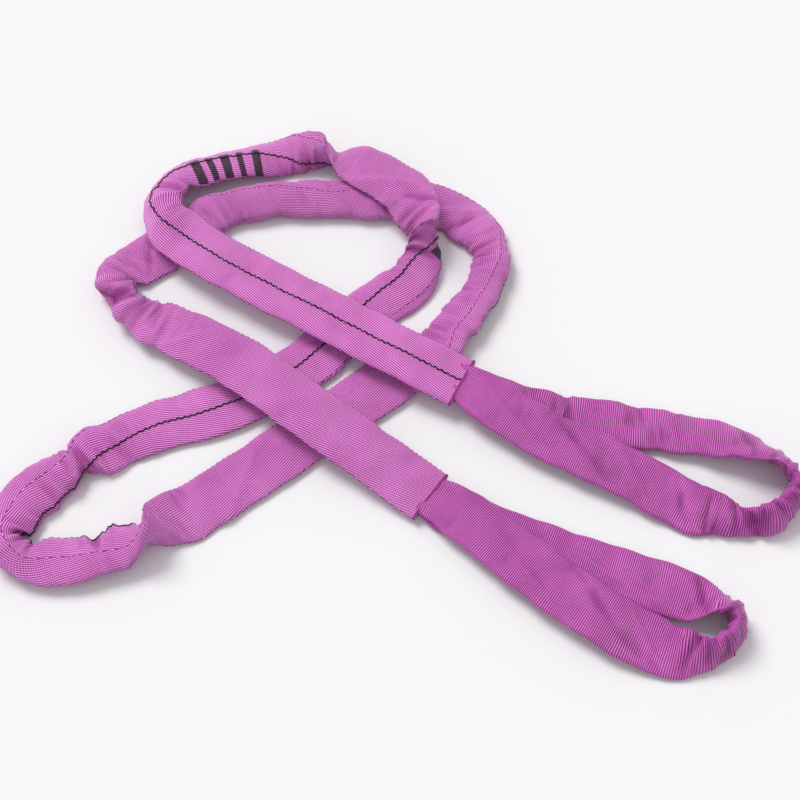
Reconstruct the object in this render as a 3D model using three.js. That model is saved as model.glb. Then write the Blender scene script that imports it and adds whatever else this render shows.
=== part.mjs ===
// Eye-and-eye round sling, lying slack on a floor.
// An endless yarn core runs inside a tubular cover. The cover shows at both eyes, and between the
// eyes its two legs lie one on the other inside a flat outer sleeve.
// Millimetres, +Z up, floor at z = 0.
import * as THREE from "three";

// ---- driving dimensions ----
const SLEEVE_WIDTH = 45;
const SLEEVE_THICKNESS = 11;
const SLEEVE_WALL = 1;
const LEG_WIDTH = 36.6;
const LEG_THICKNESS = 3.8;
const LEG_WALL = 0.6;
const YARN_WIDTH = 32.6;
const YARN_THICKNESS = 1.9;
const EYE_WIDTH = 42;
const EYE_THICKNESS = 5;
const THREAD_SIZE = 0.8;
const GAP = 0.3;
const STRIPE_GAP = 0.9;
const FLOOR_GAP = 0.25; // keeps the slanting stretches clear of the floor
const HEM_LENGTH = 5;
const MOUTH_REACH = 8; // stretch of each eye strand that is still square to the mouth
const HEM_THICKNESS = 0.6;
const CRUMPLE = 0.55; // thickness gained for each millimetre of width that a gathered stretch loses
const STEPS_PER_SPAN = 1.3;
const NEAR = 0.1; // part of a step over which a route's heading is taken

// The point of the floor below the middle of the whole sling, in the route's own coordinates.
const MIDDLE = new THREE.Vector2(1.2, 15);

// Route of the outer sleeve from mouth A to mouth B. Each row is [x, y, lift above the floor, width].
// The strap lies flat, gathered to a smaller width where it bends.
const SLEEVE_ROUTE = [
  [48, 6, 10.5, 45],
  [6, 28, 15.5, 45],
  [-50, 62, 14.5, 45],
  [-174, 140, 17, 42],
  [-196, 170, 16.5, 32],
  [-187, 205, 5, 32],
  [-155, 222, 1, 34],
  [-110, 234, 1, 36],
  [-73, 235, 4, 34],
  [-45, 224, 13, 40],
  [-18, 206, 16.5, 44],
  [8, 181, 17, 38],
  [21, 146, 10, 32],
  [12, 112, 1, 36],
  [-22, 82, 0, 42],
  [-80, 25, 0, 45],
  [-127, -5, 0, 44],
  [-200, -32, 0, 42],
  [-242, -60, 0, 36],
  [-277, -92, 0, 34],
  [-287, -119, 0, 32],
  [-272, -137, 0, 32],
  [-240, -138, 0, 34],
  [-200, -128, 0, 34],
  [-160, -102, 0, 40],
  [-14, 11, 0, 45],
  [28, 44, 0, 42],
  [57, 82, 0, 34],
  [73, 117, 0, 32],
  [66, 154, 0, 38],
  [35, 182, 0, 42],
  [-35, 188, 0, 40],
  [-140, 180, 0, 36],
  [-195, 140, 0, 40],
  [-227, 110, 0, 29],
  [-216, 80, 2, 33],
  [-182, 59, 8, 40],
  [-135, 30, 14.5, 45],
  [-57, -30, 15, 45],
  [23, -87, 1.5, 45],
];

// Routes of the eyes, out of the mouth along the under strand and back in along the upper one.
const EYE_A_ROUTE = [
  [95, -10, 0, 40],
  [150, -22, 0, 42],
  [205, -31, 0, 40],
  [250, -42, 0, 34],
  [284, -63, 0, 30],
  [292, -88, 0, 30],
  [276, -105, 0, 30],
  [248, -107, 0, 34],
  [215, -94, 0, 40],
  [165, -66, 5, 42],
  [105, -35, 6, 40],
];
const EYE_B_ROUTE = [
  [70, -114, 0, 40],
  [125, -136, 0, 42],
  [178, -155, 0, 40],
  [216, -169, 0, 30],
  [236, -182, 0, 23],
  [233, -200, 0, 23],
  [213, -209, 0, 28],
  [190, -206, 0, 36],
  [150, -187, 5, 42],
  [102, -152, 6, 40],
];

// ---- materials ----
const material = (color, roughness) => new THREE.MeshStandardMaterial({ color, roughness, metalness: 0 });
const SLEEVE_CLOTH = material(0xb45aa6, 0.7);
const COVER_CLOTH = material(0x9c3a8e, 0.6);
const CORE_YARN = material(0xe9e4dc, 0.9);
const SEAM_THREAD = material(0x8c2f80, 0.8);
const STRIPE_THREAD = material(0x1c1a1e, 0.8);

// ---- frames along a route ----
const UP = new THREE.Vector3(0, 0, 1);

// Thickness of a strap of full size width x thickness where it is gathered to a smaller width.
const gatheredThickness = (width, full) => full.thickness + CRUMPLE * (full.width - width);

// A frame is a centre with the directions across the strap, out of its upper face and along it.
function makeFrame(centre, heading, width, full) {
  const along = heading.clone().normalize();
  const across = new THREE.Vector3().crossVectors(UP, along).normalize();
  const face = new THREE.Vector3().crossVectors(along, across);
  const thickness = gatheredThickness(width, full);
  return { centre, along, across, face, width, thickness };
}

// Frames at equal shares of a route. A row's height is its lift plus half the strap's thickness.
function framesAlong(rows, full) {
  const steps = Math.round((rows.length - 1) * STEPS_PER_SPAN);
  const plan = rows.map(([x, y, lift]) => new THREE.Vector3(x - MIDDLE.x, y - MIDDLE.y, lift));
  const curve = new THREE.CatmullRomCurve3(plan, false, "centripetal");
  const stateAt = (share) => {
    const t = THREE.MathUtils.clamp(share, 0, 1);
    const place = t * (rows.length - 1);
    const low = Math.min(Math.floor(place), rows.length - 2);
    const width = THREE.MathUtils.lerp(rows[low][3], rows[low + 1][3], place - low);
    const centre = curve.getPoint(t);
    centre.z += FLOOR_GAP + gatheredThickness(width, full) / 2;
    return { centre, width };
  };
  const frames = [];
  for (let i = 0; i <= steps; i += 1) {
    const { centre, width } = stateAt(i / steps);
    const behind = stateAt((i - NEAR) / steps).centre;
    const ahead = stateAt((i + NEAR) / steps).centre;
    frames.push(makeFrame(centre, ahead.sub(behind), width, full));
  }
  return frames;
}

// ---- sections and sweeps ----
// A flat section with bevelled edges, counter-clockwise, offset along the face.
function flatSection(width, thickness, offset = 0) {
  const w = width / 2;
  const h = thickness / 2;
  const bevel = h * 1.1;
  const edge = h * 0.3;
  const right = [[w - bevel, -h], [w, -edge], [w, edge], [w - bevel, h]];
  const left = [[bevel - w, h], [-w, edge], [-w, -edge], [bevel - w, -h]];
  return [...right, ...left].map(([x, y]) => new THREE.Vector2(x, y + offset));
}

const squareSection = (x, y, size) =>
  [[1, -1], [1, 1], [-1, 1], [-1, -1]].map(([a, b]) => new THREE.Vector2(x + (a * size) / 2, y + (b * size) / 2));

// Two triangles for the patch between outline points k and l of frames i and j. The patch is cut
// from its lower x at the first frame to its higher x at the next, whichever way the outline runs,
// so that nested walls are cut alike and stay clear of each other where the strap twists.
function patch(k, l, first, next, rises) {
  const [a, b, c, d] = [first + k, first + l, next + l, next + k];
  return rises ? [a, b, c, a, c, d] : [a, b, d, b, c, d];
}

// Sweeps a section along frames. The section is drawn for the strap's full size, and each frame
// scales it. A hole has as many points as the outline, and leaves a tube that is open at both ends.
function sweep(frames, full, outline, hole = []) {
  const ring = [...outline, ...hole];
  const count = outline.length;
  const positions = [];
  for (const frame of frames) {
    for (const { x, y } of ring) {
      const point = frame.centre.clone();
      point.addScaledVector(frame.across, (x * frame.width) / full.width);
      point.addScaledVector(frame.face, (y * frame.thickness) / full.thickness);
      positions.push(...point.toArray());
    }
  }
  const triangles = [];
  for (let i = 0; i + 1 < frames.length; i += 1) {
    const first = i * ring.length;
    const next = first + ring.length;
    for (let k = 0; k < count; k += 1) {
      const l = (k + 1) % count;
      const rises = outline[k].x === outline[l].x ? outline[k].y < outline[l].y : outline[k].x < outline[l].x;
      triangles.push(...patch(k, l, first, next, rises));
      if (hole.length > 0) {
        triangles.push(...patch(count + l, count + k, first, next, !rises));
      }
    }
  }
  const last = (frames.length - 1) * ring.length;
  if (hole.length > 0) {
    for (let k = 0; k < count; k += 1) {
      const l = (k + 1) % count;
      triangles.push(l, k, count + k, l, count + k, count + l);
      triangles.push(last + k, last + l, last + count + k, last + l, last + count + l, last + count + k);
    }
  } else {
    for (let k = 1; k + 1 < count; k += 1) {
      triangles.push(0, k + 1, k, last, last + k, last + k + 1);
    }
  }
  const geometry = new THREE.BufferGeometry();
  geometry.setAttribute("position", new THREE.Float32BufferAttribute(positions, 3));
  geometry.setIndex(triangles);
  geometry.computeVertexNormals();
  return geometry;
}

const sling = new THREE.Group();

function addPiece(name, geometry, pieceMaterial) {
  const mesh = new THREE.Mesh(geometry, pieceMaterial);
  mesh.name = name;
  sling.add(mesh);
}

// ---- outer sleeve and its sewing ----
const SLEEVE_FULL = { width: SLEEVE_WIDTH, thickness: SLEEVE_THICKNESS };
const sleeveFrames = framesAlong(SLEEVE_ROUTE, SLEEVE_FULL);

function addSleeve() {
  const outline = flatSection(SLEEVE_WIDTH, SLEEVE_THICKNESS);
  const hole = flatSection(SLEEVE_WIDTH - 2 * SLEEVE_WALL, SLEEVE_THICKNESS - 2 * SLEEVE_WALL);
  addPiece("outer_sleeve", sweep(sleeveFrames, SLEEVE_FULL, outline, hole), SLEEVE_CLOTH);
}

function addSleeveThreads() {
  const edge = SLEEVE_WIDTH / 2 + GAP + THREAD_SIZE / 2;
  const top = SLEEVE_THICKNESS / 2 + STRIPE_GAP + THREAD_SIZE / 2;
  const threads = [
    ["edge_seam_left", squareSection(edge, 0, THREAD_SIZE), SEAM_THREAD],
    ["edge_seam_right", squareSection(-edge, 0, THREAD_SIZE), SEAM_THREAD],
    ["stripe_thread", squareSection(0, top, THREAD_SIZE), STRIPE_THREAD],
  ];
  // The threads stop short of the hems that are sewn round both mouths.
  const frames = sleeveFrames.slice(1, -1);
  for (const [name, outline, thread] of threads) {
    addPiece(name, sweep(frames, SLEEVE_FULL, outline), thread);
  }
}

function addHem(name, mouth, inward) {
  const far = { ...mouth, centre: mouth.centre.clone().addScaledVector(inward, HEM_LENGTH) };
  const grow = 2 * (GAP + HEM_THICKNESS);
  const outline = flatSection(SLEEVE_WIDTH + grow, SLEEVE_THICKNESS + grow);
  const hole = flatSection(SLEEVE_WIDTH + 2 * GAP, SLEEVE_THICKNESS + 2 * GAP);
  const frames = inward.dot(mouth.along) > 0 ? [mouth, far] : [far, mouth];
  addPiece(name, sweep(frames, SLEEVE_FULL, outline, hole), SEAM_THREAD);
}

// ---- the two legs inside the sleeve ----
function addLeg(name, offset) {
  const cover = flatSection(LEG_WIDTH, LEG_THICKNESS, offset);
  const cavity = flatSection(LEG_WIDTH - 3 * LEG_WALL, LEG_THICKNESS - 2 * LEG_WALL, offset);
  const yarn = flatSection(YARN_WIDTH, YARN_THICKNESS, offset);
  addPiece(`${name}_cover`, sweep(sleeveFrames, SLEEVE_FULL, cover, cavity), COVER_CLOTH);
  addPiece(`${name}_core`, sweep(sleeveFrames, SLEEVE_FULL, yarn), CORE_YARN);
}

// ---- eyes ----
const EYE_FULL = { width: EYE_WIDTH, thickness: EYE_THICKNESS };

// A strand of an eye meets the mouth GAP in front of it, level with the leg that it carries on.
function strandFrame(mouth, outward, heading, level, reach) {
  const centre = mouth.centre.clone().addScaledVector(outward, reach);
  centre.addScaledVector(mouth.face, level);
  return makeFrame(centre, heading, LEG_WIDTH, { width: LEG_WIDTH, thickness: LEG_THICKNESS });
}

// The under strand leads out of the mouth and the upper one leads back into it. Coming back, the
// strand's own left is the other way round, and one winding runs from end to end.
function eyeFrames(mouth, outward, rows) {
  const level = (LEG_THICKNESS + GAP) / 2;
  const inward = outward.clone().negate();
  const out = [GAP, MOUTH_REACH].map((reach) => strandFrame(mouth, outward, outward, -level, reach));
  const back = [MOUTH_REACH, GAP].map((reach) => strandFrame(mouth, outward, inward, level, reach));
  return [...out, ...framesAlong(rows, EYE_FULL), ...back];
}

function addEye(name, mouth, outward, rows) {
  const frames = eyeFrames(mouth, outward, rows);
  const cover = flatSection(EYE_WIDTH, EYE_THICKNESS);
  const cavity = flatSection(EYE_WIDTH - 3 * LEG_WALL, EYE_THICKNESS - 2 * LEG_WALL);
  const yarn = flatSection(YARN_WIDTH, YARN_THICKNESS * 1.25);
  addPiece(`${name}_cover`, sweep(frames, EYE_FULL, cover, cavity), COVER_CLOTH);
  addPiece(`${name}_core`, sweep(frames, EYE_FULL, yarn), CORE_YARN);
}

const mouthA = sleeveFrames[0];
const mouthB = sleeveFrames[sleeveFrames.length - 1];
const outOfA = mouthA.along.clone().negate();
const outOfB = mouthB.along.clone();

addSleeve();
addSleeveThreads();
addHem("mouth_hem_a", mouthA, mouthA.along);
addHem("mouth_hem_b", mouthB, outOfB.clone().negate());
addLeg("leg_1", (LEG_THICKNESS + GAP) / 2);
addLeg("leg_2", -(LEG_THICKNESS + GAP) / 2);
addEye("eye_a", mouthA, outOfA, EYE_A_ROUTE);
addEye("eye_b", mouthB, outOfB, EYE_B_ROUTE);

export default sling;
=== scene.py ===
"""Looks of the eye-and-eye round sling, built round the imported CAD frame. Metres, +Z up, floor at z = 0.

Every strap is one swept tube of cloth. Its route says where it runs and how high it is lifted off the
floor. Its lie says how the cloth is rolled, flattened, curled and gathered on the way, and its folds are
single creases in it.
"""

import math

import bpy
import numpy as np
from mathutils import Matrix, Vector


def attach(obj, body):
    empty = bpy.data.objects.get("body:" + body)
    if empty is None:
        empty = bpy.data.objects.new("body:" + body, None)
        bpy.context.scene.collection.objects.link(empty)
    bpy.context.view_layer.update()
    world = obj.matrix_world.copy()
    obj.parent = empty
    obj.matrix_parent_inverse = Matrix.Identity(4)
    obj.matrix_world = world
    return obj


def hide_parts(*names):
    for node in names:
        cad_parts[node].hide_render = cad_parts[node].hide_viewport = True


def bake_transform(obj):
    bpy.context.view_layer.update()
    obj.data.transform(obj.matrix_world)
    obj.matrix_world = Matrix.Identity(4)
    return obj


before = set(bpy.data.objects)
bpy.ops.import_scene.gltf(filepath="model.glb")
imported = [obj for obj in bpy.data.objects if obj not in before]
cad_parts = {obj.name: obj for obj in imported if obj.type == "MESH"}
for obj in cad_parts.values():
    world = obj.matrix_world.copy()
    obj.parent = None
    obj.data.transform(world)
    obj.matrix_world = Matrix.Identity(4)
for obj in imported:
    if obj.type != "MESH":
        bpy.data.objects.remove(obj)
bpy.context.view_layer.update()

MM = 0.001
MIDDLE = np.array([0.0012, 0.015, 0.0])  # the CAD origin in the routes' own coordinates, metres


# ---- camera ----
def add_camera():
    """Looks down from the front at the origin of the routes' own coordinates."""
    distance = 1.1178
    elevation = math.radians(60)
    target = -MIDDLE
    lens = bpy.data.cameras.new("camera")
    lens.lens = 64.9
    lens.sensor_width = 36
    lens.clip_start = 0.01
    camera = bpy.data.objects.new("camera", lens)
    bpy.context.collection.objects.link(camera)
    camera.location = (
        target[0],
        target[1] - distance * math.cos(elevation),
        target[2] + distance * math.sin(elevation),
    )
    camera.rotation_euler = (math.radians(90) - elevation, 0, 0)
    bpy.context.scene.camera = camera


add_camera()

# ---- routes ----
# [x, y, lift] in metres. The sleeve runs from mouth A to mouth B over the same points as in the CAD.
SLEEVE_ROUTE = [
    [0.048, 0.006, 0.0105],
    [0.006, 0.028, 0.0155],
    [-0.05, 0.062, 0.0145],
    [-0.174, 0.14, 0.017],
    [-0.196, 0.17, 0.0165],
    [-0.187, 0.205, 0.005],
    [-0.155, 0.222, 0.001],
    [-0.11, 0.234, 0.001],
    [-0.073, 0.235, 0.004],
    [-0.045, 0.224, 0.013],
    [-0.018, 0.206, 0.0165],
    [0.008, 0.181, 0.017],
    [0.021, 0.146, 0.01],
    [0.012, 0.112, 0.001],
    [-0.022, 0.082, 0.0],
    [-0.08, 0.025, 0.0],
    [-0.127, -0.005, 0.0],
    [-0.2, -0.032, 0.0],
    [-0.242, -0.06, 0.0],
    [-0.277, -0.092, 0.0],
    [-0.287, -0.119, 0.0],
    [-0.272, -0.137, 0.0],
    [-0.24, -0.138, 0.0],
    [-0.2, -0.128, 0.0],
    [-0.16, -0.102, 0.0],
    [-0.014, 0.011, 0.0],
    [0.028, 0.044, 0.0],
    [0.057, 0.082, 0.0],
    [0.073, 0.117, 0.0],
    [0.066, 0.154, 0.0],
    [0.035, 0.182, 0.0],
    [-0.035, 0.188, 0.0],
    [-0.14, 0.18, 0.0],
    [-0.195, 0.14, 0.0],
    [-0.227, 0.11, 0.0],
    [-0.216, 0.08, 0.002],
    [-0.182, 0.059, 0.008],
    [-0.135, 0.03, 0.0145],
    [-0.057, -0.03, 0.015],
    [0.023, -0.087, 0.0015],
]

# How the cloth lies at a place of the route, counted in rows from 0: [place, roll, slip, width,
# thickness, curl, gather]. Roll, in degrees, turns the striped face towards the right of travel. Slip
# slides the cloth round its flattened shape, in quarters, so that -1 brings the right seam to the
# middle of the top. Width and thickness are in mm. Curl, in degrees, bends both edges away from the
# striped face. Gather is how deeply the cloth is pleated.
SLEEVE_LIE = [
    [0, 0, 0, 45, 6.5, 2, 0],
    [2, 0, 0, 45, 6.5, 3, 0],
    [2.75, 0, 0, 45, 5.5, 6, 0.05],
    [3.1, -6, 0, 45, 6, 25, 0.1],
    [3.5, -16, -0.1, 44, 7, 65, 0.2],
    [4, -26, -0.2, 43, 10, 95, 0.4],
    [4.5, -28, -0.2, 42, 10, 105, 0.6],
    [5, -25, -0.1, 43, 7, 105, 0.5],
    [5.5, -22, 0, 45, 5.5, 105, 0.2],
    [6.1, -20, 0, 45, 5.5, 100, 0.2],
    [6.8, -14, 0.1, 44, 6, 85, 0.25],
    [7.3, 0, 0.2, 42, 10, 50, 0.3],
    [7.8, 35, 0.5, 36, 14, 40, 0.8],
    [8.3, 75, 0.4, 34, 15, 20, 0.8],
    [8.7, 140, 0.1, 39, 12, 0, 0.7],
    [9.1, 172, 0, 44, 6, -10, 0.3],
    [10, 180, 0, 45, 6, -15, 0.15],
    [11, 184, 0, 45, 6, -25, 0.25],
    [11.5, 205, -0.1, 41, 12, -40, 0.7],
    [11.9, 250, -0.2, 34, 18, -10, 1],
    [12.3, 310, 0, 34, 18, 30, 1],
    [12.7, 345, 0.35, 40, 12, 40, 0.5],
    [13.3, 352, 0.4, 43, 7, 25, 0.2],
    [14, 358, 0.25, 45, 6, 12, 0.1],
    [15, 360, 0.05, 45, 5, 4, 0],
    [16.3, 360, 0, 45, 5, 4, 0.05],
    [17, 360, -0.05, 44, 6, 15, 0.3],
    [17.6, 352, -0.2, 42, 11, 30, 0.4],
    [17.95, 335, -0.4, 30, 17, 40, 1],
    [18.2, 340, -0.75, 29, 18, 40, 1],
    [18.5, 350, -0.75, 41, 11, 40, 0.5],
    [19.2, 352, -0.75, 43, 10, 40, 0.2],
    [19.7, 345, -0.8, 38, 14, 50, 0.9],
    [20.3, 340, -0.9, 31, 19, 50, 1],
    [20.8, 345, -0.85, 34, 16, 50, 1],
    [21.3, 352, -0.95, 40, 11, 30, 0.3],
    [22, 352, -1, 41, 10, 25, 0.2],
    [22.6, 345, -0.85, 38, 13, 30, 0.5],
    [23.1, 352, -0.7, 38, 14, 30, 0.6],
    [23.35, 300, -0.3, 33, 19, 10, 0.7],
    [23.65, 215, -0.1, 41, 12, -20, 0.5],
    [24.05, 184, 0, 44, 6, -10, 0.3],
    [24.4, 180, 0, 45, 5, -5, 0],
    [25.3, 180, 0, 45, 5.5, 0, 0],
    [25.9, 172, -0.4, 42, 10, 0, 0.3],
    [26.3, 168, -0.7, 36, 15, 0, 0.7],
    [26.8, 172, -0.75, 34, 18, 0, 0.4],
    [27.4, 176, -0.78, 32, 19, 0, 0.4],
    [28.1, 180, -0.75, 30, 20, 0, 0.7],
    [28.6, 180, -0.5, 33, 17, -10, 0.9],
    [29.1, 180, -0.15, 41, 11, -20, 0.5],
    [29.8, 180, -0.05, 45, 6, -15, 0.2],
    [30.2, 178, -0.1, 43, 10, -10, 0.3],
    [30.7, 172, -0.35, 38, 14, 0, 0.3],
    [31.2, 168, -0.9, 34, 16, 0, 0.3],
    [31.6, 168, -0.5, 32, 17, 0, 0.3],
    [32, 170, -0.45, 34, 15, 0, 0.4],
    [32.4, 175, -0.15, 40, 12, -10, 0.5],
    [33, 180, 0, 45, 6, -8, 0.2],
    [33.5, 180, 0.05, 44, 7, -20, 0.5],
    [34, 170, 0.3, 37, 15, -30, 1],
    [34.6, 160, 0.5, 32, 19, -10, 1],
    [35.2, 165, 0.4, 32, 19, 0, 1],
    [35.7, 175, 0.15, 41, 12, -15, 0.8],
    [36.2, 180, 0, 45, 6, -10, 0.3],
    [37, 180, 0, 45, 6.5, -4, 0],
    [39, 180, 0, 45, 6.5, -2, 0],
]

# Single folds: [place, across, face, turn, reach, width, depth]. Across is 1 at the left edge and -1
# at the right one, face is 1 on the striped side, turn is 0 for a fold straight across the cloth.
SLEEVE_FOLDS = [
    [4.6, -0.6, 1, 0, 14, 5, -3],
    [4.2, -0.6, 1, 10, 16, 5, 3],
    [18.0, 0.3, 1, -15, 18, 4, -5],
    [18.3, -0.4, 1, 10, 18, 4, 4],
    [20.1, 0.2, 1, 0, 16, 5, -6],
    [10.3, 0.2, -1, 60, 45, 3, 1.6],
    [11.2, -0.3, -1, 40, 25, 3, -2.4],
    [14.3, 0.4, 1, 65, 50, 3, -1.5],
    [22.5, -0.3, 1, 10, 16, 3, -4],
    [22.9, 0.2, 1, -15, 16, 3, 2.5],
    [24.3, 0.2, -1, 55, 40, 3, 1.8],
    [29.4, 0.2, -1, 20, 18, 3, -3],
    [30.0, -0.2, -1, 60, 40, 3.5, 1.8],
    [33.2, 0.1, -1, 35, 25, 3, -2.4],
    [36.4, 0.2, -1, 45, 30, 3, 1.8],
    [34.7, 0.1, -1, 20, 14, 6, -8],
    [35.1, 0.0, -1, 0, 16, 4, 4],
]

# The eyes run out of a mouth along the under strand and back in along the upper one. Seen from above
# they have the CAD's points. The points near and inside the mouths are added here, where the two strands
# end at different depths, and the upper strand is lifted more.
EYE_A_ROUTE = [
    [0.042, 0.009, 0.01025],
    [0.048, 0.006, 0.00945],
    [0.058, 0.002, 0.0070],
    [0.095, -0.01, 0.0],
    [0.15, -0.022, 0.0],
    [0.205, -0.031, 0.0],
    [0.25, -0.042, 0.0],
    [0.284, -0.063, 0.0],
    [0.292, -0.088, 0.0],
    [0.276, -0.105, 0.0],
    [0.248, -0.107, 0.0],
    [0.215, -0.094, 0.0],
    [0.165, -0.066, 0.0075],
    [0.105, -0.035, 0.009],
    [0.06, -0.002, 0.0116],
    [0.048, 0.006, 0.01175],
    [0.024, 0.018, 0.0148],
]
EYE_A_LIE = [
    [0, 0, 0, 31, 2, 2, 0],
    [1, 0, 0, 33, 2.2, 2, 0],
    [2, 0, 0, 40, 4.5, 4, 0],
    [3, 0, 0, 41, 4.5, 6, 0.2],
    [3.6, 0, 0, 40, 6, 10, 0.7],
    [4, 0, 0, 42, 5.5, 6, 0.2],
    [4.8, -6, 0, 39, 7, 15, 0.5],
    [5.3, -10, 0, 38, 7, 20, 0.3],
    [6, -22, 0, 40, 7, 25, 0.3],
    [7, -60, 0, 38, 11, 30, 0.7],
    [7.7, -75, 0, 34, 13, 30, 1],
    [8.4, -78, 0, 31, 14, 30, 1],
    [9, -60, 0, 28, 14, 20, 1],
    [9.6, -40, 0, 25, 13, 10, 1],
    [10.2, -30, 0, 26, 12, 15, 1],
    [10.55, -10, 0, 35, 10, 10, 0.8],
    [10.9, -3, 0, 42, 5.5, 6, 0.3],
    [11.5, 0, 0, 43, 5, 6, 0.15],
    [12, 0, 0, 43, 5, 6, 0.15],
    [13, 0, 0, 42, 4.5, 6, 0.2],
    [14, 0, 0, 40, 4.5, 4, 0.1],
    [15, 0, 0, 33, 2.2, 2, 0],
    [16, 0, 0, 31, 2, 2, 0],
]
EYE_A_FOLDS = [
    [3.6, -0.2, 1, 0, 11, 2.4, -4],
    [5.2, 0.1, 1, 50, 35, 3, 1.6],
    [6.2, 0.2, 1, 30, 16, 4, -3],
    [9.6, 0.2, 1, 20, 12, 4, -4],
    [10.7, 0.0, 1, 5, 15, 2.6, -3.5],
    [11.2, -0.2, 1, 30, 18, 3, -2.2],
    [11.7, 0.35, 1, 50, 35, 3, 1.7],
    [12.6, -0.3, 1, 62, 50, 3.5, -1.8],
    [13.4, 0.1, 1, 75, 60, 3, 1.4],
]
EYE_B_ROUTE = [
    [0.018, -0.083, 0.0018],
    [0.023, -0.087, 0.0012],
    [0.033, -0.093, 0.0],
    [0.07, -0.114, 0.0],
    [0.125, -0.136, 0.0],
    [0.178, -0.155, 0.0],
    [0.216, -0.169, 0.0],
    [0.236, -0.182, 0.0],
    [0.233, -0.2, 0.0],
    [0.213, -0.209, 0.0],
    [0.19, -0.206, 0.0],
    [0.15, -0.187, 0.0075],
    [0.102, -0.152, 0.0085],
    [0.036, -0.095, 0.0052],
    [0.023, -0.087, 0.0035],
    [0.001, -0.071, 0.0061],
]
EYE_B_LIE = [
    [0, 0, 0, 31, 2, 2, 0],
    [1, 0, 0, 33, 2.2, 2, 0],
    [2, 0, 0, 40, 4.5, 4, 0],
    [3, 0, 0, 42, 4.5, 6, 0.1],
    [4, 0, 0, 43, 5, 6, 0.1],
    [5.3, -2, 0, 43, 5.5, 6, 0.1],
    [5.9, -8, 0, 42, 6, 8, 0.2],
    [6.3, -35, 0, 37, 11, 10, 0.8],
    [6.7, -75, 0, 30, 14, 5, 1],
    [7.2, -82, 0, 28, 14, 0, 0.7],
    [7.9, -75, 0, 27, 14, 0, 0.7],
    [8.5, -60, 0, 27, 13, 0, 1],
    [9, -50, 0, 27, 12, 0, 1],
    [9.4, -30, 0, 30, 12, 0, 1],
    [9.75, -5, 0, 41, 6, 5, 0.5],
    [10.2, 0, 0, 43, 5.5, 6, 0.15],
    [11, 0, 0, 44, 5, 6, 0.1],
    [12, 0, 0, 43, 4.5, 6, 0.1],
    [13, 0, 0, 40, 4.5, 4, 0.1],
    [14, 0, 0, 33, 2.2, 2, 0],
    [15, 0, 0, 31, 2, 2, 0],
]
EYE_B_FOLDS = [
    [4.6, -0.2, 1, 75, 50, 3, 1.4],
    [5.9, 0.2, 1, 20, 16, 2.6, -3],
    [9.5, -0.2, 1, -20, 14, 3, -3.5],
    [10.4, 0.2, 1, 45, 30, 3, 1.6],
    [11.2, -0.2, 1, 65, 60, 3.5, -1.7],
    [12.2, 0.2, 1, 75, 70, 3, 1.4],
]

# ---- swept straps ----
STEP = 2.0  # mm between the rings of a strap
ROUND = 28  # points across one face of a strap
SMOOTH = 5.0  # mm over which the values of a row melt into the next row's
FLOOR_GAP = 0.3
HALF = 4.2  # mm from a route's lift up to the middle of the strap
CROWD = 0.9  # share of a bend's radius that the cloth on its inside may take up
SLEEVE_WIDTH = 45.0  # flat widths of the cloths, mm
COVER_WIDTH = 43.0
LEG_WIDTH = 36.0
CORE_WIDTH = 32.0
# (length, size) of the waves along a strap, in mm. The sizes of UNEVEN are shares.
UNEVEN = ((83, 0.015), (47, 0.02), (27, 0.015))
PLEATS = ((25, 1.7), (14, 1.1), (8.5, 0.5))
SWELLS = ((71, 0.8), (43, 0.6), (29, 0.4), (17, 0.2))
UP = np.array([0.0, 0.0, 1.0])
BACK = 100.0  # mm at which the plain face's v starts, so that the two faces can be told apart
PLAIN_FACE = 70.0  # mm, every v above it is on the plain face
EVEN = np.linspace(0, 1, ROUND + 1)
# Places across a face, from 1 at the left edge to -1 at the right one, closer together at the edges.
SPREAD = 1 - 2 * (0.55 * (0.5 - 0.5 * np.cos(math.pi * EVEN)) + 0.45 * EVEN)


def unit(vectors):
    """The vectors at length 1."""
    return vectors / np.linalg.norm(vectors, axis=-1, keepdims=True)


def melt(values, sigma):
    """A Gaussian blur down the first axis, with sigma in rings, that holds the end values."""
    reach = int(math.ceil(3 * sigma))
    weights = np.exp(-0.5 * (np.arange(-reach, reach + 1) / sigma) ** 2)
    weights /= weights.sum()
    padded = np.pad(values, [(reach, reach)] + [(0, 0)] * (values.ndim - 1), mode="edge")
    out = np.zeros_like(values)
    for shift, weight in enumerate(weights):
        out += weight * padded[shift : shift + len(values)]
    return out


def spline(points, count):
    """A centripetal Catmull-Rom line through the points: count places to each span, and their share."""
    ends = [2 * points[0] - points[1], *points, 2 * points[-1] - points[-2]]
    knots = np.concatenate([[0], np.cumsum([np.linalg.norm(b - a) ** 0.5 for a, b in zip(ends, ends[1:])])])
    line = []
    shares = []
    for i in range(1, len(points)):
        t0, t1, t2, t3 = knots[i - 1 : i + 3]
        p0, p1, p2, p3 = ends[i - 1 : i + 3]
        for k in range(count + (i == len(points) - 1)):
            t = t1 + (t2 - t1) * k / count
            a1 = (t1 - t) / (t1 - t0) * p0 + (t - t0) / (t1 - t0) * p1
            a2 = (t2 - t) / (t2 - t1) * p1 + (t - t1) / (t2 - t1) * p2
            a3 = (t3 - t) / (t3 - t2) * p2 + (t - t2) / (t3 - t2) * p3
            b1 = (t2 - t) / (t2 - t0) * a1 + (t - t0) / (t2 - t0) * a2
            b2 = (t3 - t) / (t3 - t1) * a2 + (t - t1) / (t3 - t1) * a3
            line.append((t2 - t) / (t2 - t1) * b1 + (t - t1) / (t2 - t1) * b2)
            shares.append(i - 1 + k / count)
    return np.array(line), np.array(shares)


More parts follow.
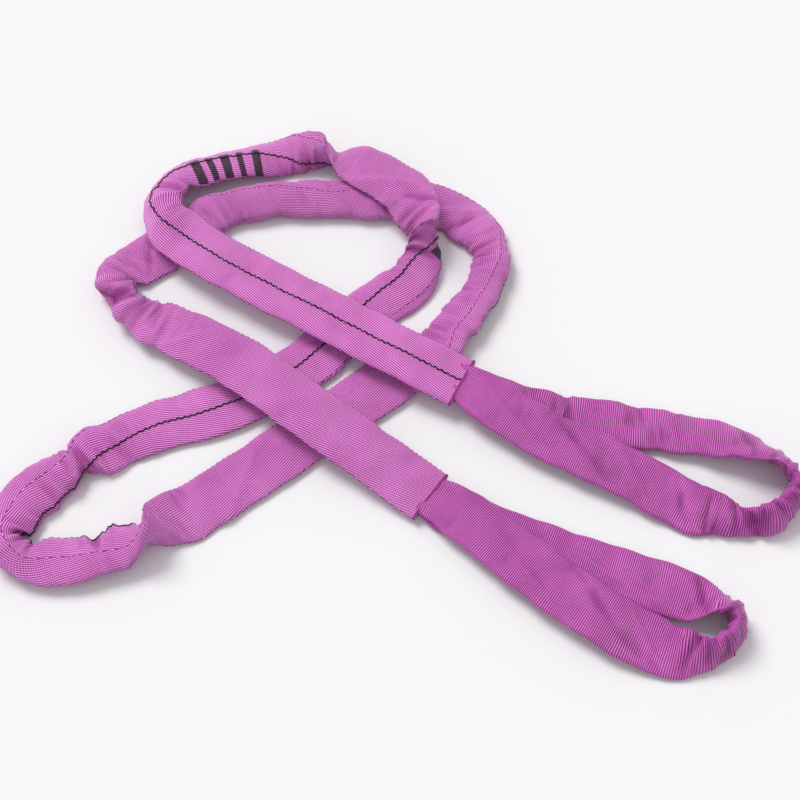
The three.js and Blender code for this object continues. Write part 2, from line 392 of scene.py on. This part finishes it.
class Strap:
    """A flat tube of cloth along a route: its rings, its outside, and places on it."""

    def __init__(self, route, lie, folds, edge, seed, soft):
        self.edge = edge
        self.soft = soft
        self.folds = folds
        self.random = np.random.default_rng(seed)
        lie = np.array(lie, dtype=float)
        line, shares = spline((np.array(route) - MIDDLE) / MM, 40)
        steps = np.linalg.norm(np.diff(line[:, :2], axis=0), axis=1)
        run = np.concatenate([[0], np.cumsum(steps)])
        count = int(round(run[-1] / STEP)) + 1
        self.s = np.linspace(0, run[-1], count)
        share = np.interp(self.s, run, shares)
        self.place_run = (shares, run)
        self.plan = np.stack([np.interp(self.s, run, line[:, k]) for k in range(2)], axis=1)
        self.plan = np.column_stack([self.plan, np.zeros(count)])
        values = np.stack([np.interp(share, lie[:, 0], lie[:, k]) for k in range(1, 7)], axis=1)
        values = melt(values, SMOOTH / STEP)
        self.lift = melt(np.interp(self.s, run, line[:, 2]), SMOOTH / STEP)
        self.roll, self.slip, self.width, self.thick, self.curl, self.gather = values.T
        self.unevenness()
        self.roll = np.radians(self.roll)
        self.curl = np.radians(self.curl)
        self.along = unit(np.gradient(self.plan, axis=0))
        self.side = np.cross(UP, self.along)
        turn = np.gradient(np.unwrap(np.arctan2(self.along[:, 1], self.along[:, 0])), self.s)
        self.turn = melt(turn, 3.0)
        self.shape()

    def unevenness(self):
        """Small slow changes of width and line, larger where the cloth is gathered."""
        ends = np.clip(np.minimum(self.s, self.s[-1] - self.s) / 40, 0, 1)
        for length, share in UNEVEN:
            phase = self.random.uniform(0, 2 * math.pi, 2)
            amount = share * (0.6 + 2.2 * self.gather) * ends
            self.width = self.width * (1 + amount * np.sin(2 * math.pi * self.s / length + phase[0]))
            across = 12 * amount * np.sin(2 * math.pi * self.s / length * 0.9 + phase[1])
            heading = unit(np.gradient(self.plan, axis=0))
            self.plan = self.plan + across[:, None] * np.cross(UP, heading)

    def section(self):
        """Flat outlines of all rings: across and out, from the left edge over the striped face and back."""
        x = SPREAD
        half = self.width[:, None] / 2
        tall = np.maximum(self.thick[:, None] / 2 - self.edge, 0.2)
        flatness = np.clip(self.width / self.thick, 1.0, 6.0)[:, None]
        power = 2.0 + 0.5 * (flatness - 1.0)
        body = (1 - np.abs(x[None, :]) ** power) ** (0.5 + 0.03 * (flatness - 1.0))
        height = self.edge * np.clip((1 - np.abs(x)) * 14, 0, 1) ** 0.5 + tall * body
        over = np.stack([half * x, height], axis=2)
        under = np.stack([half * x[::-1], -height[:, ::-1]], axis=2)
        return self.slipped(np.concatenate([over[:, :-1], under[:, :-1]], axis=1))

    def slipped(self, flat):
        """The outlines with SPREAD measured along the cloth, slid round by slip quarters of the way."""
        closed = np.concatenate([flat, flat[:, :1]], axis=1)
        way = np.cumsum(np.linalg.norm(np.diff(closed, axis=1), axis=2), axis=1)
        share = np.concatenate([(1 - SPREAD[:-1]) / 4, 0.5 + (1 + SPREAD[:0:-1]) / 4])
        out = np.empty_like(flat)
        for i, (ring, steps) in enumerate(zip(closed, way)):
            steps = np.concatenate([[0], steps])
            spots = ((share + self.slip[i] / 4) % 1) * steps[-1]
            out[i] = np.stack([np.interp(spots, steps, ring[:, k]) for k in range(2)], axis=1)
        return out

    def place(self, flat):
        """Curls, rolls and lays down flat outlines; gives points round each ring, in mm."""
        curl = np.where(np.abs(self.curl) < 0.02, 0.02, self.curl)[:, None]
        radius = self.width[:, None] / curl
        angle = flat[:, :, 0] / radius
        across = (radius + flat[:, :, 1]) * np.sin(angle)
        out = (radius + flat[:, :, 1]) * np.cos(angle) - radius
        out = out + radius * (1 - np.cos(curl / 2)) * 0.5
        cos, sin = np.cos(self.roll)[:, None], np.sin(self.roll)[:, None]
        lateral = across * cos - out * sin
        height = across * sin + out * cos
        # On the inside of a tight bend the cloth crowds together instead of running through itself.
        room = CROWD / np.maximum(np.abs(self.turn), 1e-4)[:, None]
        inside = lateral * np.sign(self.turn)[:, None] > 0
        squeezed = np.sign(lateral) * room * np.tanh(np.abs(lateral) / room)
        lateral = np.where(inside, squeezed, lateral)
        return lateral, height

    def shape(self):
        """Lays the sections along the route, clear of the floor, and wrinkles them."""
        lateral, height = self.place(self.section())
        tall = np.ptp(height, axis=1)
        lowest = np.maximum(self.lift + HALF - tall / 2, 0) + FLOOR_GAP
        self.base = melt(lowest - height.min(axis=1), 2.0)
        self.points = self.lay(lateral, height)
        self.wrinkle()

    def lay(self, lateral, height):
        """Points in mm from distances to the left of the route and up from each ring's own base."""
        points = self.plan[:, None, :] + lateral[:, :, None] * self.side[:, None, :]
        points = points + (height + self.base[:, None])[:, :, None] * UP
        points[:, :, 2] = np.maximum(points[:, :, 2], FLOOR_GAP)
        return points

    def normals(self):
        """The outward direction at every point of the rings."""
        ahead = np.gradient(self.points, axis=0)
        around = np.roll(self.points, -1, axis=1) - np.roll(self.points, 1, axis=1)
        return unit(np.cross(around, ahead) + 1e-9)

    def pleats(self, x, face):
        """Sharp pleats across the cloth, deepest on the inside of the bends."""
        s = self.s[:, None]
        rise = np.zeros_like(x)
        for length, depth in PLEATS:
            phase = self.random.uniform(0, 2 * math.pi, 2)
            drift = self.random.uniform(-1.6, 1.6, 2)
            sway = 0.8 * np.sin(s / 31 + phase[0])
            wave = np.sin(2 * math.pi * s / length + drift[0] * x * face + phase[1] + sway)
            rise += depth * (1 - 2 * np.abs(wave) ** 0.7)
        place = self.section()[:, :, 0] / (self.width[:, None] / 2)
        lateral = place * np.cos(self.roll)[:, None] * np.sign(self.turn)[:, None]
        inside = 0.45 + 0.55 * np.clip(0.5 + lateral, 0, 1)
        return rise * inside * self.gather[:, None]

    def swells(self, x, face):
        """A slow unevenness all along, that dies away towards both ends."""
        s = self.s[:, None]
        calm = np.clip(np.minimum(self.s, self.s[-1] - self.s) / 30, 0, 1)[:, None]
        rise = np.zeros_like(x)
        for length, depth in SWELLS:
            phase = self.random.uniform(0, 2 * math.pi, 3)
            drift = self.random.uniform(1.0, 3.2) * self.random.choice([-1, 1])
            swell = np.sin(2 * math.pi * s / length + drift * x + phase[0] + face)
            rise += self.soft * depth * calm * swell * np.sin(1.7 * x + s / 53 + phase[1])
        return rise

    def single_folds(self, x, face):
        """The folds of the strap's own list."""
        s = self.s[:, None]
        rise = np.zeros_like(x)
        for place, across, side, turn, reach, width, depth in self.folds:
            along = s - np.interp(place, *self.place_run)
            over = (x - across) * self.width[:, None] / 2
            cos, sin = math.cos(math.radians(turn)), math.sin(math.radians(turn))
            down = (along * cos + over * sin) / width
            beside = (over * cos - along * sin) / reach
            rise += np.where(face == side, depth, 0) * np.exp(-(down**2) - beside**2)
        return rise

    def wrinkle(self):
        """Moves the cloth in and out along its normals, less at the two edges."""
        x = np.tile(np.concatenate([SPREAD[:-1], SPREAD[:0:-1]]), (len(self.s), 1))
        face = np.where(np.arange(x.shape[1]) < ROUND, 1.0, -1.0)[None, :]
        move = self.pleats(x, face) + self.swells(x, face) + self.single_folds(x, face)
        move *= 1 - 0.75 * np.abs(x) ** 6
        # How far each point stands out, kept for the painted shade in the hollows of the folds.
        self.fold = np.clip(0.5 + move / 5, 0, 1)
        self.points = self.points + move[:, :, None] * self.normals()
        self.points[:, :, 2] = np.maximum(self.points[:, :, 2], FLOOR_GAP)
        self.out = self.normals()

    def at(self, s, x, face, off):
        """Points on the cloth at run s and place x across (-1 to 1, left is +1), off mm above it."""
        ring = np.interp(s, self.s, np.arange(len(self.s)))
        over = np.interp(-np.asarray(x, dtype=float), -SPREAD, np.arange(ROUND + 1))
        spot = over if face > 0 else 2 * ROUND - over
        low, part = np.floor(ring).astype(int), ring - np.floor(ring)
        high = np.minimum(low + 1, len(self.s) - 1)
        first, share = np.floor(spot).astype(int), (spot - np.floor(spot))[:, None]
        total = self.points.shape[1]
        first, second = first % total, (first + 1) % total
        found = []
        for grid in (self.points, self.out):
            a = grid[low, first] * (1 - share) + grid[low, second] * share
            b = grid[high, first] * (1 - share) + grid[high, second] * share
            found.append(a * (1 - part)[:, None] + b * part[:, None])
        return found[0] + off * unit(found[1])

    def ring(self, s, off):
        """The ring at run s, off mm outside the cloth."""
        spot = np.interp(s, self.s, np.arange(len(self.s)))
        low = int(min(math.floor(spot), len(self.s) - 2))
        part = spot - low
        return self.points[low] * (1 - part) + self.points[low + 1] * part + unit(self.out[low]) * off

    def inner(self, low, high, squeeze, trim=(0, 0)):
        """Rings of a flat tube inside this one, from share low to share high of the way out to the
        striped face, squeeze as wide."""
        rings = self.points[trim[0] : len(self.points) - trim[1]]
        over = rings[:, : ROUND + 1]
        under = np.concatenate([rings[:, :1], rings[:, :ROUND - 1 : -1]], axis=1)
        spots = np.interp(-SPREAD * squeeze, -SPREAD, np.arange(ROUND + 1))
        first = np.minimum(np.floor(spots).astype(int), ROUND - 1)
        part = (spots - first)[None, :, None]
        over = over[:, first] * (1 - part) + over[:, first + 1] * part
        under = under[:, first] * (1 - part) + under[:, first + 1] * part
        middle = (over + under) / 2
        bulge = np.clip(1 - np.abs(SPREAD) ** 6, 0, 1)[None, :, None]
        centre = (low + high) / 2
        reach = (over - under) / 2
        top = middle + reach * (centre + (high - centre) * bulge)
        bottom = middle + reach * (centre + (low - centre) * bulge)
        tube = np.concatenate([top[:, :-1], bottom[:, :0:-1]], axis=1)
        # Drawn in where the cloth is gathered or bends sharply, so that it never shows through a pleat.
        tight = np.maximum(self.gather, np.clip(np.abs(self.turn) * 25, 0, 1))
        loose = 1 - 0.6 * melt(tight, 4.0)[trim[0] : len(self.points) - trim[1]]
        centre = tube.mean(axis=1, keepdims=True)
        return centre + (tube - centre) * loose[:, None, None]

    def middle(self, every=1):
        """The strap's middle line, in metres."""
        return self.points.mean(axis=1)[::every] * MM

    def length(self):
        """The length of the middle line, in metres."""
        line = self.middle()
        return float(np.linalg.norm(np.diff(line, axis=0), axis=1).sum())


# ---- meshes ----
def add_mesh(name, points, faces, uvs, material):
    """A smooth mesh object from points in mm and faces, with a (u, v) pair in metres for each corner.

    No point goes below the floor.
    """
    mesh = bpy.data.meshes.new(name)
    places = np.array(points) * MM
    places[:, 2] = np.maximum(places[:, 2], 0.0)
    mesh.from_pydata([tuple(p) for p in places], [], [tuple(f) for f in faces])
    if uvs is not None:
        layer = mesh.uv_layers.new(name="cloth")
        layer.data.foreach_set("uv", np.asarray(uvs, dtype=float).ravel())
    mesh.shade_smooth()
    mesh.validate()
    mesh.update()
    piece = bpy.data.objects.new(name, mesh)
    bpy.context.collection.objects.link(piece)
    mesh.materials.append(material)
    return piece


def grid_faces(rings, count):
    """Faces and their (ring, spot) corners for closed rings with count points each."""
    faces = []
    corners = []
    for i in range(rings - 1):
        for k in range(count):
            n = (k + 1) % count
            faces.append((i * count + k, i * count + n, (i + 1) * count + n, (i + 1) * count + k))
            corners.append(((i, k), (i, k + 1), (i + 1, k + 1), (i + 1, k)))
    return faces, np.array(corners)


def add_tube(name, rings, run, width, material, caps=True, fold=None):
    """A closed tube through rings of points. run is the cloth's u at each ring, and v goes across it.

    v is the same on both faces, so a slanting rib turns back at each edge, but it starts at BACK on the
    plain face. fold says how far the cloth stands out at each point, with 0.5 for not at all; the cloth's
    material paints shade into the hollows from it.
    """
    count = rings.shape[1]
    faces, corners = grid_faces(len(rings), count)
    u = run[corners[:, :, 0]]
    spots = corners[:, :, 1]
    under = spots.min(axis=1, keepdims=True) >= ROUND
    over = width / 2 * (1 + SPREAD)
    v = np.where(under, BACK + over[np.clip(2 * ROUND - spots, 0, ROUND)], over[np.clip(spots, 0, ROUND)])
    uvs = np.stack([u, v], axis=2).reshape(-1, 2) * MM
    if caps:
        faces.append(tuple(range(count - 1, -1, -1)))
        faces.append(tuple((len(rings) - 1) * count + k for k in range(count)))
        uvs = np.concatenate([uvs, np.zeros((2 * count, 2))])
    piece = add_mesh(name, rings.reshape(-1, 3), faces, uvs, material)
    values = np.full(len(piece.data.vertices), 0.5) if fold is None else fold.ravel()
    piece.data.attributes.new("fold", "FLOAT", "POINT").data.foreach_set("value", values)
    return piece


def add_thread(name, lines, radius, material, sides):
    """Round threads along lines of points, in mm, all in one mesh, with blunt tapered ends."""
    points = []
    faces = []
    start = 0
    turns = np.linspace(0, 2 * math.pi, sides, endpoint=False)
    for line, out in lines:
        along = unit(np.gradient(line, axis=0))
        rise = unit(out - (out * along).sum(axis=1, keepdims=True) * along)
        wide = np.cross(along, rise)
        fat = np.full(len(line), radius)
        fat[0] *= 0.45
        fat[-1] *= 0.45
        ring = np.cos(turns)[:, None] * wide[:, None, :] + np.sin(turns)[:, None] * rise[:, None, :]
        points.append((line[:, None, :] + fat[:, None, None] * ring).reshape(-1, 3))
        for i in range(len(line) - 1):
            for k in range(sides):
                n = (k + 1) % sides
                a, b = start + i * sides, start + (i + 1) * sides
                faces.append((a + n, a + k, b + k, b + n))
        faces.append(tuple(start + k for k in range(sides)))
        faces.append(tuple(start + (len(line) - 1) * sides + k for k in range(sides - 1, -1, -1)))
        start += len(line) * sides
    return add_mesh(name, np.concatenate(points), faces, None, material)


# ---- materials ----
def new_material(name):
    """A material, its node tree and its shader."""
    material = bpy.data.materials.new(name)
    material.use_nodes = True
    tree = material.node_tree
    shader = next(n for n in tree.nodes if n.type == "BSDF_PRINCIPLED")
    return material, tree, shader


def math_node(tree, operation, *values):
    """The outcome of a sum on numbers or sockets."""
    node = tree.nodes.new("ShaderNodeMath")
    node.operation = operation
    for k, value in enumerate(values):
        if isinstance(value, (int, float)):
            node.inputs[k].default_value = value
        else:
            tree.links.new(value, node.inputs[k])
    return node.outputs[0]


def noise(tree, vector, scale, detail):
    """Soft noise between 0 and 1."""
    node = tree.nodes.new("ShaderNodeTexNoise")
    node.inputs["Scale"].default_value = scale
    node.inputs["Detail"].default_value = detail
    node.inputs["Roughness"].default_value = 0.5
    tree.links.new(vector, node.inputs["Vector"])
    return node.outputs["Fac"]


def mix_colour(tree, amount, a, b):
    """Colour a turning into colour b as the amount goes from 0 to 1."""
    node = tree.nodes.new("ShaderNodeMix")
    node.data_type = "RGBA"
    for socket, value in ((node.inputs[0], amount), (node.inputs[6], a), (node.inputs[7], b)):
        if isinstance(value, tuple):
            socket.default_value = (*value, 1)
        elif isinstance(value, (int, float)):
            socket.default_value = value
        else:
            tree.links.new(value, socket)
    return node.outputs[2]


def box_mask(tree, u, v, box, blur):
    """1 inside a box of the cloth, [u0, u1, v0, v1] in metres, and 0 outside it, soft at its edges."""
    inside = None
    for value, low, high in ((u, box[0], box[1]), (v, box[2], box[3])):
        for edge, sign in ((low, 1.0), (high, -1.0)):
            ramp = math_node(tree, "MULTIPLY_ADD", value, sign / blur, 0.5 - sign * edge / blur)
            ramp.node.use_clamp = True
            inside = ramp if inside is None else math_node(tree, "MULTIPLY", inside, ramp)
    return inside


def woven(name, light, dark, slant, pitch, depth, look, bars=()):
    """Ribbed tape cloth. The ribs slant across the tape, and picks cross them. Its colour carries painted
    shade in the grooves between the ribs and in the hollows of folds, and painted highlight on the rib
    crowns.

    look is the roughness, the sheen, the contrast of the ribs, and how strong the picks are on the
    striped face and on the plain one. The bars are printed in black.
    """
    roughness, sheen, contrast, picks = look
    material, tree, shader = new_material(name)
    place = tree.nodes.new("ShaderNodeUVMap")
    place.uv_map = "cloth"
    parts = tree.nodes.new("ShaderNodeSeparateXYZ")
    tree.links.new(place.outputs[0], parts.inputs[0])
    u, v = parts.outputs[0], parts.outputs[1]
    wander = noise(tree, place.outputs[0], 45, 2)
    turn = math.radians(slant)
    step = math_node(tree, "ADD", math_node(tree, "MULTIPLY", u, math.sin(turn) / pitch),
                     math_node(tree, "MULTIPLY", v, math.cos(turn) / pitch))
    step = math_node(tree, "ADD", step, math_node(tree, "MULTIPLY", wander, 0.9))
    rib = math_node(tree, "SINE", math_node(tree, "MULTIPLY", step, 2 * math.pi))
    cross = math_node(tree, "SUBTRACT", math_node(tree, "MULTIPLY", u, math.cos(turn) / (pitch * 0.9)),
                      math_node(tree, "MULTIPLY", v, math.sin(turn) / (pitch * 0.9)))
    pick = math_node(tree, "SINE", math_node(tree, "MULTIPLY", cross, 2 * math.pi))
    plain = math_node(tree, "GREATER_THAN", v, PLAIN_FACE * MM)
    amount = math_node(tree, "MULTIPLY_ADD", plain, picks[1] - picks[0], picks[0])
    height = math_node(tree, "ADD", rib, math_node(tree, "MULTIPLY", pick, amount))
    # Painted shade and highlight: the colour follows the height of the ribs, dark in the grooves between
    # them and light on their crowns. The patchy noise added next is the cloth's own uneven tone.
    shade = math_node(tree, "MULTIPLY_ADD", height, contrast, 0.6)
    patchy = noise(tree, place.outputs[0], 22, 3)
    shade = math_node(tree, "ADD", shade, math_node(tree, "MULTIPLY_ADD", patchy, 0.9, -0.45))
    shade.node.use_clamp = True
    colour = mix_colour(tree, shade, dark, light)
    # Painted shade: the colour turns darker in the hollows of the folds, where the cloth sinks in.
    fold = tree.nodes.new("ShaderNodeAttribute")
    fold.attribute_name = "fold"
    hollow_shade = math_node(tree, "MULTIPLY_ADD", fold.outputs["Fac"], -1.5, 0.58)
    hollow_shade.node.use_clamp = True
    colour = mix_colour(tree, hollow_shade, colour, dark)
    if bars:
        ragged = noise(tree, place.outputs[0], 900, 2)
        shaken_u = math_node(tree, "MULTIPLY_ADD", ragged, 0.0016, math_node(tree, "SUBTRACT", u, 0.0008))
        printed = None
        for box in bars:
            bar = box_mask(tree, shaken_u, v, box, 0.0008)
            printed = bar if printed is None else math_node(tree, "MAXIMUM", printed, bar)
        worn = math_node(tree, "MULTIPLY", printed, math_node(tree, "MULTIPLY_ADD", rib, 0.04, 0.93))
        colour = mix_colour(tree, worn, colour, (0.005, 0.004, 0.006))
    tree.links.new(colour, shader.inputs["Base Color"])
    bump = tree.nodes.new("ShaderNodeBump")
    bump.inputs["Strength"].default_value = 1.0
    bump.inputs["Distance"].default_value = depth
    tree.links.new(height, bump.inputs["Height"])
    tree.links.new(bump.outputs[0], shader.inputs["Normal"])
    rough = math_node(tree, "MULTIPLY_ADD", rib, -0.06, roughness)
    tree.links.new(rough, shader.inputs["Roughness"])
    shader.inputs["Sheen Weight"].default_value = sheen
    shader.inputs["Sheen Roughness"].default_value = 0.35
    shader.inputs["Sheen Tint"].default_value = (1.0, 0.75, 0.95, 1)
    shader.inputs["Specular IOR Level"].default_value = 0.5
    return material


def twisted(name, light, dark, twist, roughness):
    """Thread or yarn: fine slanting plies in the object's own space."""
    material, tree, shader = new_material(name)
    place = tree.nodes.new("ShaderNodeTexCoord")
    wave = tree.nodes.new("ShaderNodeTexWave")
    wave.bands_direction = "DIAGONAL"
    wave.inputs["Scale"].default_value = twist
    wave.inputs["Distortion"].default_value = 2.0
    tree.links.new(place.outputs["Object"], wave.inputs["Vector"])
    tree.links.new(mix_colour(tree, wave.outputs["Fac"], dark, light), shader.inputs["Base Color"])
    bump = tree.nodes.new("ShaderNodeBump")
    bump.inputs["Strength"].default_value = 0.6
    bump.inputs["Distance"].default_value = 0.0002
    tree.links.new(wave.outputs["Fac"], bump.inputs["Height"])
    tree.links.new(bump.outputs[0], shader.inputs["Normal"])
    shader.inputs["Roughness"].default_value = roughness
    return material


# Plain printed bars on the striped face near the top of the sling, [u0, u1, v0, v1] in metres.
PRINTED_BARS = (
    (0.350, 0.358, 0.002, 0.027),
    (0.363, 0.369, 0.002, 0.027),
    (0.375, 0.383, 0.002, 0.027),
    (0.389, 0.394, 0.002, 0.027),
    (0.402, 0.409, 0.002, 0.027),
    (0.602, 0.609, 0.027, 0.040),
)
# Each cloth's light colour is painted highlight on the crowns of its ribs. Its dark colour is painted shade
# in the grooves and in the hollows of the folds.
SLEEVE_CLOTH = woven("sleeve_cloth", (1.0, 0.34, 0.90), (0.38, 0.010, 0.27), 12, 0.0016, 0.0003,
                     (0.34, 0.08, 0.65, (0.2, 0.55)), PRINTED_BARS)
COVER_CLOTH = woven("cover_cloth", (0.84, 0.16, 0.70), (0.14, 0.004, 0.10), 90, 0.0015, 0.00026,
                    (0.32, 0.06, 0.65, (0.15, 0.15)))
SEAM_THREAD = twisted("seam_thread", (0.30, 0.02, 0.21), (0.16, 0.008, 0.11), 400, 0.6)
STRIPE_THREAD = twisted("stripe_thread", (0.010, 0.009, 0.012), (0.003, 0.003, 0.004), 400, 0.75)
CORE_YARN = twisted("core_yarn", (0.84, 0.81, 0.75), (0.66, 0.62, 0.55), 250, 0.8)


def finish_piece(piece, node, body=None):
    """Hides the CAD node that the piece stands for, and hangs the piece on the body it rides on, if one is
    given.
    """
    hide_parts(node)
    if body is not None:
        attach(piece, body)


# ---- outer sleeve ----
sleeve = Strap(SLEEVE_ROUTE, SLEEVE_LIE, SLEEVE_FOLDS, edge=0.7, seed=11, soft=0.8)


def add_sleeve(depth, wall):
    """The sleeve, with both ends turned back inside, so that its mouths are open and have a wall."""
    count = int(depth / STEP) + 1
    inside = sleeve.points - sleeve.out * wall
    lip = sleeve.points - sleeve.out * wall / 2
    rings = [*inside[count - 1 :: -1], lip[0] - sleeve.along[0] / 2]
    rings += [*sleeve.points, lip[-1] + sleeve.along[-1] / 2, *inside[: -count - 1 : -1]]
    back = 1 + STEP * np.arange(count)
    end = sleeve.s[-1]
    run = np.array([*-back[::-1], -0.5, *sleeve.s, end + 0.5, *(end + back)])
    fold = np.pad(sleeve.fold, ((count + 1, count + 1), (0, 0)), mode="edge")
    piece = add_tube("sleeve", np.array(rings), run, SLEEVE_WIDTH, SLEEVE_CLOTH, caps=False, fold=fold)
    finish_piece(piece, "outer_sleeve", "root")
    return piece


sleeve_piece = add_sleeve(24, 0.9)


def add_edge_stitches(name, x, node):
    """A row of short slanting stitches round one edge of the sleeve."""
    pitch = 4.3
    clear = 7.0  # mm left free at each mouth
    lines = []
    for s in np.arange(clear, sleeve.s[-1] - clear, pitch):
        run = s + np.array([-1.5, -0.5, 0.5, 1.5])
        place = x * np.array([0.965, 0.99, 1.0, 0.985])
        line = sleeve.at(run, place, 1, 0.05)
        out = sleeve.at(run, place, 1, 1.05) - line
        lines.append((line, out))
    finish_piece(add_thread(name, lines, 0.32, SEAM_THREAD, sides=5), node, "root")


add_edge_stitches("edge_stitches_left", 1.0, "edge_seam_left")
add_edge_stitches("edge_stitches_right", -1.0, "edge_seam_right")


def add_stripe():
    """The zigzag tracer thread along the middle of one face."""
    pitch = 5.2
    reach = 0.55
    clear = 1.6  # mm left free at each mouth
    s = np.arange(clear, sleeve.s[-1] - clear, pitch / 8)
    swing = 2 * np.abs(2 * ((s / pitch) % 1) - 1) - 1
    x = reach * np.tanh(1.6 * swing) / (SLEEVE_WIDTH / 2)
    line = sleeve.at(s, x, 1, 0.25)
    out = sleeve.at(s, x, 1, 1.25) - line
    piece = add_thread("tracer_thread", [(line, out)], 0.62, STRIPE_THREAD, sides=7)
    finish_piece(piece, "stripe_thread", "root")


add_stripe()


def add_hem(name, s0, s1, node):
    """The sewn edge of a mouth: a thin band round the sleeve from run s0 to run s1."""
    shares = np.linspace(0, 1, 7)
    offs = 0.1 + 0.3 * np.sin(math.pi * np.clip(shares, 0.08, 0.92)) ** 0.4
    rings = [sleeve.ring(s0 + (s1 - s0) * share, off) for share, off in zip(shares, offs)]
    rings += [sleeve.ring(s0 + (s1 - s0) * share, 0.05) for share in shares[::-1]]
    rings.append(rings[0])
    rings = np.array(rings)
    rings[:, :, 2] = np.maximum(rings[:, :, 2], FLOOR_GAP / 2)
    run = np.linspace(0, 14, len(rings))
    piece = add_tube(name, rings, run, SLEEVE_WIDTH, SEAM_THREAD, caps=False)
    finish_piece(piece, node, "root")


HEM = 1.4  # mm
add_hem("mouth_band_a", 0.0, HEM, "mouth_hem_a")
add_hem("mouth_band_b", sleeve.s[-1] - HEM, sleeve.s[-1], "mouth_hem_b")


# ---- the legs inside the sleeve ----
LEG_TRIM = 15  # rings left free at each mouth, where the eyes reach in


def add_leg(number, low, high):
    """One leg of the endless cover with its yarn, between two shares of the sleeve's thickness."""
    middle, half = (low + high) / 2, (high - low) / 2
    name = f"leg_{number}"
    run = sleeve.s[LEG_TRIM:-LEG_TRIM]
    rings = sleeve.inner(low, high, 0.75, (LEG_TRIM, LEG_TRIM))
    cover = add_tube(f"inner_{name}_cover", rings, run, LEG_WIDTH, COVER_CLOTH)
    finish_piece(cover, f"{name}_cover", "root")
    rings = sleeve.inner(middle - half * 0.5, middle + half * 0.5, 0.6, (LEG_TRIM + 1, LEG_TRIM + 1))
    core = add_tube(f"inner_{name}_core", rings, run[1:-1], CORE_WIDTH, CORE_YARN)
    finish_piece(core, f"{name}_core", "root")


add_leg(1, 0.06, 0.7)
add_leg(2, -0.7, -0.06)


# ---- eyes ----
def add_eye(letter, route, lie, folds, seed):
    """One eye: its cover and its yarn, which bend down to the floor just outside the mouth."""
    eye = Strap(route, lie, folds, edge=0.9, seed=seed, soft=0.9)
    name = f"eye_{letter}"
    cover = add_tube(f"soft_{name}", eye.points, eye.s, COVER_WIDTH, COVER_CLOTH, fold=eye.fold)
    finish_piece(cover, f"{name}_cover")
    yarn = eye.inner(-0.4, 0.4, 0.7, (1, 1))
    core = add_tube(f"yarn_{name}", yarn, eye.s[1:-1], LEG_WIDTH, CORE_YARN)
    finish_piece(core, f"{name}_core")
    for piece in (cover, core):
        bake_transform(piece)


add_eye("a", EYE_A_ROUTE, EYE_A_LIE, EYE_A_FOLDS, 21)
add_eye("b", EYE_B_ROUTE, EYE_B_LIE, EYE_B_FOLDS, 22)


# ---- floor and light ----
def add_floor():
    """A plain pale floor, wide enough that its edge is out of sight."""
    reach = 30.0
    corners = [(-reach, -reach, 0), (reach, -reach, 0), (reach, reach, 0), (-reach, reach, 0)]
    mesh = bpy.data.meshes.new("floor")
    mesh.from_pydata(corners, [], [(0, 1, 2, 3)])
    floor = bpy.data.objects.new("floor", mesh)
    bpy.context.collection.objects.link(floor)
    material, _, shader = new_material("floor_white")
    shader.inputs["Base Color"].default_value = (0.86, 0.86, 0.87, 1)
    shader.inputs["Roughness"].default_value = 0.7
    shader.inputs["Specular IOR Level"].default_value = 0.2
    mesh.materials.append(material)


def add_sun(name, source, spread, power):
    """Even light from a direction, its shadows softened by its spread in degrees."""
    lamp = bpy.data.lights.new(name, "SUN")
    lamp.angle = math.radians(spread)
    lamp.energy = power
    holder = bpy.data.objects.new(name, lamp)
    holder.rotation_euler = Vector(source).to_track_quat("Z", "Y").to_euler()
    bpy.context.collection.objects.link(holder)


def add_world(strength):
    """Plain white light from all round."""
    world = bpy.data.worlds.new("studio")
    world.use_nodes = True
    world.node_tree.nodes["Background"].inputs["Color"].default_value = (1, 1, 1, 1)
    world.node_tree.nodes["Background"].inputs["Strength"].default_value = strength
    bpy.context.scene.world = world


add_floor()
add_world(0.60)
add_sun("key", (-0.55, 0.6, 1.0), 28, 2.0)
bpy.context.scene.view_settings.view_transform = "Standard"
